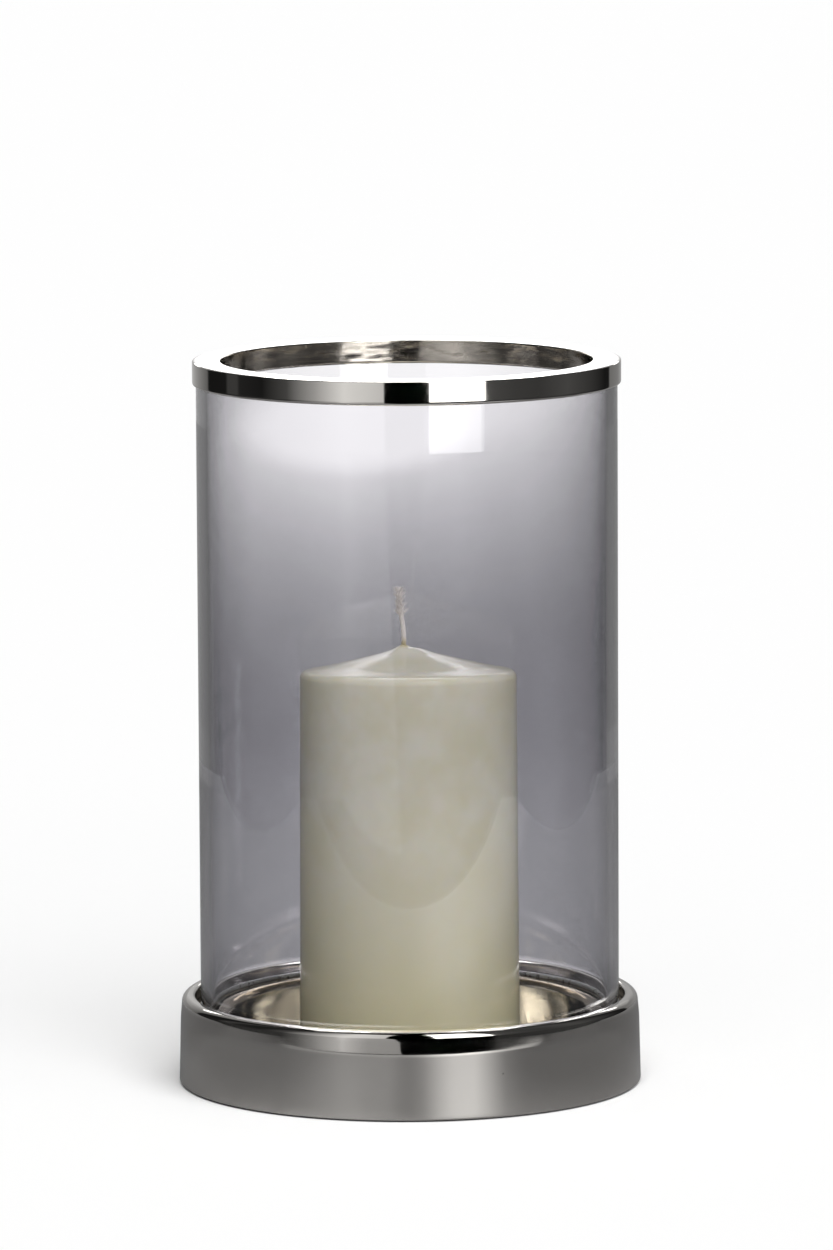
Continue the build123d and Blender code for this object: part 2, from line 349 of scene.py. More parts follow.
class Shader:
    """Adds shader nodes to one material or world and links them."""

    def __init__(self, name, world=False):
        self.owner = (bpy.data.worlds if world else bpy.data.materials).new(name)
        self.owner.use_nodes = True
        self.tree = self.owner.node_tree
        self.tree.nodes.clear()
        self.output = "OutputWorld" if world else "OutputMaterial"

    def put(self, socket, value):
        """Sets a socket to a plain value, or links it to another socket or a node's first output."""
        if isinstance(value, bpy.types.Node):
            value = value.outputs[0]
        if isinstance(value, bpy.types.NodeSocket):
            self.tree.links.new(value, socket)
        else:
            socket.default_value = value

    def add(self, kind, sockets=None, **settings):
        """New node of a kind, with its settings and its input sockets filled."""
        node = self.tree.nodes.new("ShaderNode" + kind)
        for key, value in settings.items():
            setattr(node, key, value)
        for key, value in (sockets or {}).items():
            self.put(node.inputs[key], value)
        return node

    def maths(self, operation, first, second=0.0, clamp=False):
        """Math node of two values."""
        return self.add("Math", {0: first, 1: second}, operation=operation, use_clamp=clamp).outputs[0]

    def times(self, first, second):
        """Product of two values."""
        return self.maths("MULTIPLY", first, second)

    def ranged(self, value, low, high, to_low=0.0, to_high=1.0, smooth=True):
        """Value carried from one range to another, clamped."""
        kind = "SMOOTHSTEP" if smooth else "LINEAR"
        sockets = {"Value": value, "From Min": low, "From Max": high, "To Min": to_low, "To Max": to_high}
        return self.add("MapRange", sockets, interpolation_type=kind).outputs[0]

    def mixed(self, share, first, second):
        """Colour mixed from two colours."""
        return self.add("Mix", {0: share, 6: first, 7: second}, data_type="RGBA").outputs[2]

    def place(self):
        """Object coordinates."""
        return self.add("TexCoord").outputs["Object"]

    def stretched(self, *scale):
        """Object coordinates with a scale along each axis."""
        return self.add("Mapping", {"Vector": self.place(), "Scale": scale})

    def split(self, vector):
        """The x, y and z outputs of a vector."""
        return self.add("SeparateXYZ", {0: vector}).outputs

    def joined(self, x, y, z):
        """Vector from three values."""
        return self.add("CombineXYZ", {0: x, 1: y, 2: z}).outputs[0]

    def length(self, x, y, z=0.0):
        """Length of the vector from three values."""
        return self.add("VectorMath", {0: self.joined(x, y, z)}, operation="LENGTH").outputs["Value"]

    def summed(self, first, first_share, second, second_share):
        """Sum of shares of two values."""
        part = self.times(first, first_share)
        return self.maths("ADD", part, self.times(second, second_share))

    def around(self, around_scale, upward_scale):
        """Coordinates for marks that run round the axis: turned angle, height and radius, each scaled."""
        x, y, z = self.split(self.place())
        return self.joined(
            self.times(self.maths("ARCTAN2", y, x), around_scale),
            self.times(z, upward_scale),
            self.times(self.length(x, y), upward_scale),
        )

    def cloud(self, vector, scale, detail=3.0, roughness=0.5):
        """Noise texture value."""
        sockets = {"Vector": vector, "Scale": scale, "Detail": detail, "Roughness": roughness}
        return self.add("TexNoise", sockets).outputs[0]

    def specks(self, vector, scale, size, sparse):
        """1 inside small round specks, in the cells whose random value is above sparse."""
        cells = self.add("TexVoronoi", {"Vector": vector, "Scale": scale})
        dots = self.ranged(cells.outputs["Distance"], 0.6 * size, size, 1.0, 0.0)
        chosen = self.maths("GREATER_THAN", self.split(cells.outputs["Color"])[0], sparse)
        return self.times(dots, chosen)

    def bump(self, height, distance, strength):
        """Bumped normal."""
        return self.add("Bump", {"Height": height, "Distance": distance, "Strength": strength}).outputs[0]

    def shown(self):
        """1 where the camera looks straight, by way of a mirror or through glass."""
        rays = self.add("LightPath").outputs
        shown = self.maths("MAXIMUM", rays["Is Camera Ray"], rays["Is Glossy Ray"])
        return self.maths("MAXIMUM", shown, rays["Is Transmission Ray"])

    def finish(self, shader):
        """Links a shader to the output and gives the material or world."""
        self.put(self.add(self.output).inputs["Surface"], shader)
        return self.owner

    def coated(self, colour, roughness, normal, extra):
        """Finished material of one surface, with extra values for its sockets."""
        sockets = {"Base Color": colour, "Roughness": roughness, "Normal": normal, **extra}
        return self.finish(self.add("BsdfPrincipled", sockets))


def rgba(colour):
    """Four numbers from a colour property."""
    return (*colour, 1.0)


def scaled(colour, share):
    """Colour property times a share, as four numbers."""
    return (*(share * channel for channel in colour), 1.0)


def polished_nickel(name, metal):
    """Mirror-polished nickel with faint buffing lines, cloudy wiping marks and rare pits."""
    colour, roughness = metal.nickel_colour, metal.polish_roughness
    shader = Shader(name)
    lines = shader.cloud(shader.around(0.9, 900.0), scale=2.0, detail=2.0)
    clouds = shader.cloud(shader.place(), scale=55.0, detail=4.0, roughness=0.6)
    pits = shader.specks(shader.place(), scale=150.0, size=0.055, sparse=0.93)
    wiped = shader.ranged(clouds, 0.3, 0.7)
    tone = shader.mixed(wiped, scaled(colour, 0.97), rgba(colour))
    tone = shader.mixed(pits, tone, scaled(colour, 0.35))
    haze = shader.ranged(clouds, 0.35, 0.75, roughness, 2.2 * roughness)
    rough = shader.summed(haze, 1.0, lines, 0.4 * roughness)
    relief = shader.summed(lines, 0.02, pits, -1.0)
    return shader.coated(tone, rough, shader.bump(relief, 0.08 * MM, 0.35), METAL)


def satin_nickel(name, colour, roughness, ledge=None, ledge_colour=None):
    """Spun nickel with turning marks and stains, and on its ledge, if it has one, a warm brown that paints
    in a tan reflection and dims the edge's highlight.
    """
    shader = Shader(name)
    lines = shader.cloud(shader.around(0.7, 1100.0), scale=1.6, detail=3.0, roughness=0.65)
    stains = shader.cloud(shader.place(), scale=70.0, detail=5.0, roughness=0.65)
    clean = shader.ranged(stains, 0.35, 0.7)
    tone = shader.mixed(clean, scaled(colour, 0.82), rgba(colour))
    if ledge is not None:
        # Painted reflection: a warm brown on the ledge and its edge rounding
        z = shader.split(shader.place())[2]
        on_ledge = shader.ranged(z, ledge - 2.4 * MM, ledge - 0.4 * MM)
        ledge_reflection = shader.mixed(stains, rgba(ledge_colour), scaled(ledge_colour, 0.75))
        tone = shader.mixed(on_ledge, tone, ledge_reflection)
    rough = shader.ranged(lines, 0.25, 0.75, 0.75 * roughness, 1.5 * roughness)
    relief = shader.summed(lines, 0.35, stains, 0.4)
    return shader.coated(tone, rough, shader.bump(relief, 0.12 * MM, 0.5), METAL)


def brushed_steel(colour):
    """Plain brushed steel for the hidden plate, screws and posts."""
    shader = Shader("brushed_steel")
    grain = shader.cloud(shader.stretched(60.0, 1800.0, 1800.0), scale=1.0)
    tone = shader.mixed(grain, scaled(colour, 0.8), rgba(colour))
    rough = shader.ranged(grain, 0.2, 0.8, 0.25, 0.45)
    return shader.coated(tone, rough, shader.bump(grain, 0.05 * MM, 0.4), METAL)


def black_felt(colour):
    """Pressed felt with matted fibres."""
    shader = Shader("black_felt")
    matting = shader.cloud(shader.place(), scale=900.0, detail=6.0, roughness=0.7)
    clumps = shader.cloud(shader.place(), scale=180.0)
    tone = shader.mixed(clumps, rgba(colour), scaled(colour, 2.4))
    rough = shader.ranged(matting, 0.2, 0.8, 0.85, 1.0)
    sheen = {"Sheen Weight": 0.35, "Sheen Roughness": 0.4}
    return shader.coated(tone, rough, shader.bump(matting, 0.4 * MM, 0.8), sheen)


def clear_silicone(colour):
    """Milky clear rubber."""
    shader = Shader("clear_silicone")
    haze = shader.cloud(shader.place(), scale=320.0)
    tone = shader.mixed(haze, scaled(colour, 0.94), rgba(colour))
    rough = shader.ranged(haze, 0.3, 0.7, 0.25, 0.4)
    rubber = {"IOR": 1.41, "Transmission Weight": 0.75}
    return shader.coated(tone, rough, shader.bump(haze, 0.05 * MM, 0.3), rubber)


def backdrop_shaded_glass(glass):
    """Clear glass with a grey tint of painted backdrop shade that fades out upward and deepens at the
    sides, a painted highlight under the top ring, a few seeds and faint drawing lines.
    """
    shader = Shader("backdrop_shaded_glass")
    place = shader.place()
    x, y, z = shader.split(place)
    clear = rgba(glass.clear_colour)
    # Painted shade of the backdrop: a grey tint, lighter at the foot, that fades to clear upward
    drift = shader.maths("SUBTRACT", shader.cloud(place, scale=16.0, detail=2.0), 0.5)
    slant = shader.summed(x, -glass.backdrop_shade_tilt, drift, 12 * MM)
    level = shader.maths("ADD", z, slant)
    fade = shader.ranged(level, glass.backdrop_shade_top, glass.clear_bottom, smooth=False)
    deep = shader.ranged(z, glass.foot_top, glass.backdrop_shade_bottom)
    backdrop_shade = shader.mixed(deep, rgba(glass.foot_colour), rgba(glass.backdrop_shade_colour))
    tint = shader.mixed(shader.maths("POWER", fade, 1.72), backdrop_shade, clear)
    side = shader.add("LayerWeight", {"Blend": 0.5}).outputs["Facing"]
    shade = shader.times(shader.maths("POWER", side, 1.2), glass.edge_shade)
    tint = shader.mixed(shade, tint, scaled(glass.backdrop_shade_colour, 0.79))
    # Painted highlight: the tint clears in an oval under the top ring, to the left
    across = shader.maths("SUBTRACT", x, glass.highlight_x)
    upward = shader.maths("SUBTRACT", shader.summed(z, 1.0, y, glass.highlight_slope), glass.highlight_z)
    reach = shader.length(
        shader.maths("DIVIDE", across, glass.highlight_half_width),
        shader.maths("DIVIDE", upward, glass.highlight_half_height),
    )
    tint = shader.mixed(shader.ranged(reach, 0.7, 1.3, 0.9, 0.0), tint, clear)
    # The painted backdrop shade is taken off the back of the glass at its foot
    low = shader.ranged(z, glass.clear_foot, glass.clear_foot + 2 * MM, 1.0, 0.0)
    low = shader.times(low, shader.ranged(y, 0.0, 20 * MM))
    tint = shader.mixed(low, tint, clear)
    seeds = shader.specks(place, scale=95.0, size=0.028, sparse=0.94)
    tint = shader.mixed(seeds, tint, scaled(glass.backdrop_shade_colour, 0.3))
    rays = shader.add("LightPath").outputs
    tint = shader.mixed(shader.maths("MINIMUM", rays["Glossy Depth"], 1.0), tint, clear)
    streaks = shader.cloud(shader.around(26.0, 6.0), scale=1.0)
    solid = shader.add("BsdfPrincipled", {
        "Base Color": tint,
        "Roughness": shader.times(seeds, 0.3),
        "IOR": glass.refraction,
        "Transmission Weight": 1.0,
        "Normal": shader.bump(streaks, 0.02 * MM, 0.15),
    })
    passing = shader.maths("MAXIMUM", rays["Is Shadow Ray"], rays["Is Diffuse Ray"])
    window = shader.add("BsdfTransparent")
    return shader.finish(shader.add("MixShader", {0: passing, 1: solid, 2: window}))


def ivory_wax(candle, foot_z, top_z, wick_x):
    """Waxy ivory with faint mottling, yellower near its foot and at the wick, with painted shade on its
    lower half, and a few scuffs.
    """
    shader = Shader("ivory_wax")
    place = shader.place()
    x, y, z = shader.split(place)
    height = top_z - foot_z
    rise = shader.ranged(z, foot_z, foot_z + 0.7 * height)
    tone = shader.mixed(rise, rgba(candle.wax_foot_colour), rgba(candle.wax_colour))
    # Painted shade: below about half its height the candle is darkened up to a tenth toward black
    low = shader.ranged(z, foot_z + 0.42 * height, foot_z + 0.62 * height, 0.1, 0.0)
    tone = shader.mixed(low, tone, BLACK)
    mottle = shader.cloud(place, scale=42.0, detail=5.0, roughness=0.6)
    patches = shader.ranged(mottle, 0.35, 0.7, 0.0, 0.5)
    tone = shader.mixed(patches, tone, scaled(candle.wax_foot_colour, 0.93))
    specks = shader.specks(place, scale=210.0, size=0.07, sparse=0.965)
    tone = shader.mixed(shader.times(specks, 0.45), tone, (0.42, 0.36, 0.24, 1.0))
    away = shader.length(shader.maths("SUBTRACT", x, wick_x), y, shader.maths("SUBTRACT", z, top_z))
    stain = shader.ranged(away, 1.3 * MM, 3.4 * MM, 0.75, 0.0)
    tone = shader.mixed(stain, tone, rgba(candle.wax_stain_colour))
    scuffs = shader.cloud(shader.stretched(420.0, 420.0, 60.0), scale=1.0, detail=4.0)
    rough = shader.ranged(mottle, 0.3, 0.75, 0.11, 0.17)
    skin = shader.bump(shader.summed(mottle, 0.5, scuffs, 0.12), 0.25 * MM, 0.35)
    return shader.coated(tone, rough, skin, {
        "IOR": 1.44,
        "Subsurface Weight": 0.35,
        "Subsurface Radius": (1.0, 0.75, 0.45),
        "Subsurface Scale": 6 * MM,
    })


def cotton_yarn(colour, wax_colour, wax_z):
    """Cotton yarn, soaked with wax where it leaves the candle."""
    shader = Shader("cotton_yarn")
    z = shader.split(shader.place())[2]
    fibres = shader.cloud(shader.stretched(1.0, 1.0, 0.35), scale=2600.0, detail=4.0)
    tone = shader.mixed(fibres, scaled(colour, 0.8), rgba(colour))
    soaked = shader.ranged(z, wax_z + 1.0 * MM, wax_z + 5.0 * MM, 0.85, 0.0)
    tone = shader.mixed(soaked, tone, rgba(wax_colour))
    rough = shader.ranged(fibres, 0.2, 0.8, 0.6, 0.85)
    return shader.coated(tone, rough, shader.bump(fibres, 0.1 * MM, 0.6), {"Sheen Weight": 0.3})


class LAMP_OT_base_ring(bpy.types.Operator):
    """Turn the base ring with its leaning wall, rounded rim and one small dent"""

    bl_idname = "lamp.base_ring"
    bl_label = "Base Ring"
    segments = 288
    longest_run = 1.6 * MM
    dent_angle = math.radians(-97.8)
    dent_height = 12.0 * MM
    dent_radius = 2.6 * MM
    dent_depth = 0.07 * MM

    def corners(self, metal):
        """Corners of the ring's section."""
        foot_radius, foot_z, top_z = radius_and_heights("base_ring")
        rim_outer = rim_bore() + metal.rim_width
        lean_z = top_z - metal.rim_lean_height
        lean_radius = rim_outer + metal.rim_lean_height * math.tan(metal.rim_lean)
        shelf_top = radius_and_heights("drip_tray")[2] - metal.tray_sheet
        shelf_bottom = shelf_top - metal.shelf_thickness
        shelf_radius = tray_wall() + metal.tray_edge_round + metal.fit_clearance
        bore = foot_radius - metal.base_wall
        plate_radius, _, plate_top = radius_and_heights("bottom_plate")
        rabbet = plate_radius + metal.fit_clearance
        return [
            (rabbet, foot_z, 0),
            (foot_radius, foot_z, metal.foot_round),
            (lean_radius, lean_z, metal.rim_lean_round),
            (rim_outer, top_z, metal.rim_outer_round),
            (rim_bore(), top_z, metal.rim_inner_round),
            (rim_bore(), shelf_top, 0),
            (shelf_radius, shelf_top, 0),
            (shelf_radius, shelf_bottom, 0),
            (bore, shelf_bottom, metal.shelf_root_round),
            (bore, plate_top, 0),
            (rabbet, plate_top, 0),
        ]

    def execute(self, context):
        metal = context.scene.lamp_metal
        rim_inner = rim_bore()

        def shift(radius, height, angle):
            if radius <= rim_inner:
                return radius, height
            uneven = metal.polish_wave * swell(angle, height, around=4.5, upward=38.0, seed=3.0)
            turn = (angle - self.dent_angle + math.pi) % TURN - math.pi
            away = math.hypot(turn * radius, height - self.dent_height) / self.dent_radius
            return radius - uneven - self.dent_depth * math.exp(-away * away), height

        corners = self.corners(metal)
        mesh = turned_mesh("base_ring_polished", corners, self.segments, self.longest_run, shift)
        nickel = polished_nickel("polished_nickel_base", metal)
        place_piece(mesh, "base", ["base_ring"], "polished_nickel", nickel)
        return {"FINISHED"}


class LAMP_OT_drip_tray(bpy.types.Operator):
    """Turn the spun drip tray that sits in the base ring"""

    bl_idname = "lamp.drip_tray"
    bl_label = "Drip Tray"
    segments = 224
    longest_run = 3.0 * MM

    def execute(self, context):
        metal = context.scene.lamp_metal
        flange, underside, ledge = radius_and_heights("drip_tray")
        wall = tray_wall()
        back = wall + metal.tray_sheet
        floor = underside + metal.tray_sheet
        corners = [
            (0.0, underside, 0),
            (back, underside, metal.tray_corner_round + metal.tray_sheet),
            (back, ledge - metal.tray_sheet, metal.tray_edge_round - metal.tray_sheet),
            (flange, ledge - metal.tray_sheet, 0),
            (flange, ledge, 0),
            (wall, ledge, metal.tray_edge_round),
            (wall, floor, metal.tray_corner_round),
            (0.0, floor, 0),
        ]

        def shift(radius, height, angle):
            uneven = metal.polish_wave * swell(angle, height, around=6.0, upward=60.0, seed=7.0)
            return radius - 0.5 * uneven, height

        mesh = turned_mesh("drip_tray_spun", corners, self.segments, self.longest_run, shift)
        finish = (metal.tray_colour, metal.tray_roughness, ledge, metal.ledge_colour)
        satin = satin_nickel("satin_nickel_tray", *finish)
        place_piece(mesh, "base", ["drip_tray"], "tray_nickel", satin)
        return {"FINISHED"}


class LAMP_OT_underside(bpy.types.Operator):
    """Finish the felt pad, bottom plate, screws and standoffs under the base"""

    bl_idname = "lamp.underside"
    bl_label = "Underside"
    segments = 160
    longest_run = 4.0 * MM
    felt_round = 0.35 * MM
    felt_wave = 0.12 * MM
    felt_edge = 0.9

    def execute(self, context):
        metal = context.scene.lamp_metal
        radius, bottom, top = radius_and_heights("felt_pad")
        corners = [(0.0, bottom, 0), (radius, bottom, self.felt_round), (radius, top, 0), (0.0, top, 0)]

        def shift(near, height, angle):
            if near < self.felt_edge * radius:
                return near, height
            uneven = self.felt_wave * swell(angle, height, around=40.0, upward=900.0, seed=5.0)
            return near - uneven, height

        mesh = turned_mesh("felt_pad_pressed", corners, self.segments, self.longest_run, shift)
        place_piece(mesh, "base", ["felt_pad"], "felt", black_felt(metal.felt_colour))
        steel = brushed_steel(metal.steel_colour)
        for node in ("bottom_plate", "plate_screws", "tray_standoffs"):
            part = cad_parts[node]
            part.data.materials.clear()
            part.data.materials.append(steel)
        return {"FINISHED"}


class LAMP_OT_soft_rings(bpy.types.Operator):
    """Turn the two clear rings between the glass and the metal"""

    bl_idname = "lamp.soft_rings"
    bl_label = "Soft Rings"
    segments = 192
    edge_round = 0.35 * MM

    def execute(self, context):
        wall = context.scene.lamp_glass.wall
        silicone = clear_silicone(context.scene.lamp_metal.silicone_colour)
        for node, body in (("glass_seat", "base"), ("ring_cushion", "cap_ring")):
            outer, bottom, top = radius_and_heights(node)
            overhang = outer - glass_radius()
            inner = outer - wall - 2 * overhang
            corners = band_corners(inner, outer, bottom, top, self.edge_round)
            mesh = turned_mesh(node + "_soft", corners, self.segments)
            place_piece(mesh, body, [node], "clear_silicone", silicone)
        return {"FINISHED"}


class LAMP_OT_glass_shade(bpy.types.Operator):
    """Turn the glass cylinder with its fire-polished ends"""

    bl_idname = "lamp.glass_shade"
    bl_label = "Glass Shade"
    segments = 256
    longest_run = 5.0 * MM

    def execute(self, context):
        glass = context.scene.lamp_glass
        outer, bottom, top = radius_and_heights("glass_shade")
        inner = glass_bore()
        middle = (outer + inner) / 2
        corners = band_corners(inner, outer, bottom, top, glass.edge_round)

        def shift(radius, height, angle):
            side, seed = (-1.0, 11.0) if radius > middle else (1.0, 17.0)
            uneven = glass.wave * swell(angle, height, around=3.0, upward=11.0, seed=seed)
            return radius + side * uneven, height

        mesh = turned_mesh("glass_shade_tube", corners, self.segments, self.longest_run, shift)
        place_piece(mesh, "shade", ["glass_shade"], "shade_glass", backdrop_shaded_glass(glass))
        return {"FINISHED"}


class LAMP_OT_top_ring(bpy.types.Operator):
    """Turn the channel ring that caps the glass, with its rough inside"""

    bl_idname = "lamp.top_ring"
    bl_label = "Top Ring"
    segments = 288
    longest_run = 0.6 * MM

    def execute(self, context):
        metal = context.scene.lamp_metal
        outer, hem, top = radius_and_heights("top_ring")
        skirt = outer - metal.ring_sheet
        inner_skirt = glass_bore() - metal.ring_inner_gap
        inner = inner_skirt - metal.ring_sheet
        ceiling = top - metal.ring_sheet
        corners = [
            (skirt, hem, 0),
            (outer, hem, metal.ring_hem_round),
            (outer, top, metal.ring_edge_round),
            (inner, top, metal.ring_edge_round),
            (inner, hem, metal.ring_hem_round),
            (inner_skirt, hem, 0),
            (inner_skirt, ceiling, 0),
            (skirt, ceiling, 0),
        ]
        flank = inner + 0.5 * metal.ring_edge_round

        def shift(radius, height, angle):
            if radius < flank:
                broad = swell(angle, height, around=11.0, upward=380.0, seed=21.0)
                fine = swell(angle, height, around=24.0, upward=760.0, seed=23.0)
                return radius + metal.cast_wave * (0.7 * broad + 0.3 * fine), height
            if radius > skirt:
                uneven = metal.polish_wave * swell(angle, height, around=5.0, upward=60.0, seed=25.0)
                return radius - 0.2 * uneven, height
            return radius, height

        mesh = turned_mesh("top_ring_polished", corners, self.segments, self.longest_run, shift)
        nickel = polished_nickel("polished_nickel_ring", metal)
        rough = satin_nickel("rough_nickel_ring", metal.inside_colour, metal.inside_roughness)
        place_piece(mesh, "cap_ring", ["top_ring"], "polished_nickel", nickel, rough)
        for face in mesh.polygons:
            face.material_index = int(face.center.xy.length < flank)
        return {"FINISHED"}


class LAMP_OT_candle(bpy.types.Operator):
    """Turn the pillar candle with its sloping top and the mound at the wick"""

    bl_idname = "lamp.candle"
    bl_label = "Candle"
    segments = 192
    longest_run = 2.0 * MM
    collar_radius = 2.4 * MM
    collar_height = 1.3 * MM
    crest_share = 0.75
    crest_rings = 6
    tilt_power = 4

    def execute(self, context):
        candle = context.scene.lamp_candle
        foot, bottom, top = radius_and_heights("candle_wax")
        shoulder = foot - candle.taper
        mound_foot = top - candle.mound_height
        drop = (shoulder - candle.mound_radius) * math.tan(candle.slope)
        wick_x = wick_foot()
        corners = [
            (0.0, bottom, 0),
            (foot, bottom, candle.foot_round),
            (shoulder, mound_foot - drop, candle.shoulder_round),
            (candle.mound_radius, mound_foot, candle.mound_foot_round),
            (candle.mound_top, top, candle.mound_top_round),
        ]
        crest = self.crest_share * candle.mound_top
        corners += [(crest * (1 - ring / self.crest_rings), top, 0) for ring in range(self.crest_rings + 1)]

        def tilt(radius, height, angle):
            share = max(0.0, (height - bottom) / (top - bottom)) ** self.tilt_power
            lip = math.tan(candle.lip_angle) * max(0.0, radius - candle.lip_start)
            return share * (lip - math.tan(candle.top_tilt) * radius * math.sin(angle))

        def shift(radius, height, angle):
            wave = candle.wax_wave * min(1.0, radius / shoulder)
            bulge = wave * swell(angle, height, around=1.6, upward=14.0, seed=31.0)
            moved = height + tilt(radius, height, angle)
            if height < mound_foot - drop - candle.shoulder_round:
                return radius - bulge, moved
            from_wick = math.hypot(radius * math.cos(angle) - wick_x, radius * math.sin(angle))
            collar = self.collar_height * math.exp(-(from_wick / self.collar_radius) ** 2)
            sag = wave * swell(angle, radius, around=2.2, upward=60.0, seed=37.0)
            return radius - bulge, moved + collar - sag

        mesh = turned_mesh("candle_pillar", corners, self.segments, self.longest_run, shift)
        wax = ivory_wax(candle, bottom, top, wick_x)
        place_piece(mesh, "candle", ["candle_wax"], "candle_wax", wax)
        return {"FINISHED"}


class LAMP_OT_wick(bpy.types.Operator):
    """Sweep the braided wick, its yarns and the frayed fibres at its end"""

    bl_idname = "lamp.wick"
    bl_label = "Wick"
    buried = 6.0 * MM
    tip_gap = 0.4 * MM
    lean_power = 1.7
    sway_width = 0.2 * MM
    sway_turns = 1.1
    sway_depth = 0.3
    yarn_sides = 9
    yarn_steps = 90
    yarn_share = 0.56
    orbit_share = 0.5
    orbit_opening = 0.9
    turns_per_metre = 150.0
    fibre_sides = 5
    fibre_steps = 8
    fibre_radius = 0.19 * MM
    fibre_root = 0.55
    fibre_curl = 0.22
    fibre_lift = 0.25
    end_thinning = 0.7
    seed = 4

    def line(self, share):
        """Point on the wick's middle line, from under the wax at 0 to the tip at 1."""
        wax_top = radius_and_heights("candle_wax")[2]
        low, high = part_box("candle_wick")
        foot_x, tip_x = wick_foot(), low.x + bpy.context.scene.lamp_candle.wick_radius
        start, tip_z = wax_top - self.buried, high.z - self.tip_gap
        z = start + share * (tip_z - start)
        rise = max(0.0, z - wax_top) / (tip_z - wax_top)
        sway = self.sway_width * math.sin(TURN * self.sway_turns * rise)
        x = foot_x + (tip_x - foot_x) * rise ** self.lean_power + sway
        return Vector((x, self.sway_depth * sway, z))

    def tube(self, points, radii, sides):
        """Vertices and faces of a closed round tube along points."""
        vertices, faces = [], []
        for index, (point, radius) in enumerate(zip(points, radii)):
            ahead = points[min(index + 1, len(points) - 1)] - points[max(index - 1, 0)]
            across = ahead.normalized().cross(Vector((0.0, 1.0, 0.0))).normalized()
            up = across.cross(ahead.normalized())
            for side in range(sides):
                angle = TURN * side / sides
                vertices.append(point + radius * (math.cos(angle) * across + math.sin(angle) * up))
        for row in range(len(points) - 1):
            for side in range(sides):
                beside = (side + 1) % sides
                low, high = row * sides, (row + 1) * sides
                faces.append((low + side, high + side, high + beside, low + beside))
        faces.append(tuple(range(sides)))
        faces.append(tuple(reversed(range((len(points) - 1) * sides, len(points) * sides))))
        return vertices, faces

    def yarns(self, candle):
        """Yarns twisted round the middle line, opening at the frayed end."""
        span = (self.line(1.0) - self.line(0.0)).length
        fray_start = 1.0 - candle.fray_length / span
        for strand in range(candle.wick_strands):
            points, radii = [], []
            for step in range(self.yarn_steps + 1):
                share = step / self.yarn_steps
                angle = TURN * (strand / candle.wick_strands + self.turns_per_metre * span * share)
                fray = max(0.0, (share - fray_start) / (1.0 - fray_start))
                orbit = self.orbit_share * candle.braid_radius * (1.0 + self.orbit_opening * fray)
                offset = Vector((math.cos(angle), math.sin(angle), 0.0)) * orbit
                points.append(self.line(share) + offset)
                radii.append(self.yarn_share * candle.braid_radius * (1.0 - self.end_thinning * fray))
            yield points, radii

    def fibres(self, candle):
        """Loose fibres that stand off the wick's end."""
        draw = random.Random(self.seed)
        fray_share = candle.fray_length / (self.line(1.0) - self.line(0.0)).length
        for _ in range(candle.fray_fibres):
            start = 1.0 - fray_share * draw.uniform(0.1, 1.1)
            angle = draw.uniform(0.0, TURN)
            outward = Vector((math.cos(angle), math.sin(angle), 0.0))
            fibre_length = draw.uniform(1.5, 3.6) * MM
            spread = draw.uniform(0.35, 1.5)
            curl = draw.uniform(-1.8, 1.8)
            point = self.line(start) + outward * self.fibre_root * candle.braid_radius
            heading = (outward * spread + Vector((0.0, 0.0, 1.0))).normalized()
            points, radii = [], []
            for step in range(self.fibre_steps + 1):
                points.append(point.copy())
                radii.append(self.fibre_radius * (1.0 - self.end_thinning * step / self.fibre_steps))
                aside = Vector((-outward.y, outward.x, self.fibre_lift * curl))
                heading = (heading + aside * curl * self.fibre_curl).normalized()
                point += heading * fibre_length / self.fibre_steps
            if max(point.z for point in points) < self.line(1.0).z:
                yield points, radii

    def execute(self, context):
        candle = context.scene.lamp_candle
        vertices, faces = [], []
        shapes = [(shape, self.yarn_sides) for shape in self.yarns(candle)]
        shapes += [(shape, self.fibre_sides) for shape in self.fibres(candle)]
        for (points, radii), sides in shapes:
            tube_vertices, tube_faces = self.tube(points, radii, sides)
            first = len(vertices)
            vertices += tube_vertices
            faces += [tuple(first + corner for corner in face) for face in tube_faces]
        mesh = finished_mesh("candle_wick_braid", vertices, faces)
        wax_top = radius_and_heights("candle_wax")[2]
        cotton = cotton_yarn(candle.wick_colour, candle.wax_stain_colour, wax_top)
        place_piece(mesh, "candle", ["candle_wick"], "wick_cotton", cotton)
        return {"FINISHED"}


def level_sheet(x_range, y_range, z):
    """Corners and face of a level rectangle."""
    (left, right), (front, back) = x_range, y_range
    return [(left, front, z), (right, front, z), (right, back, z), (left, back, z)], [(0, 1, 2, 3)]


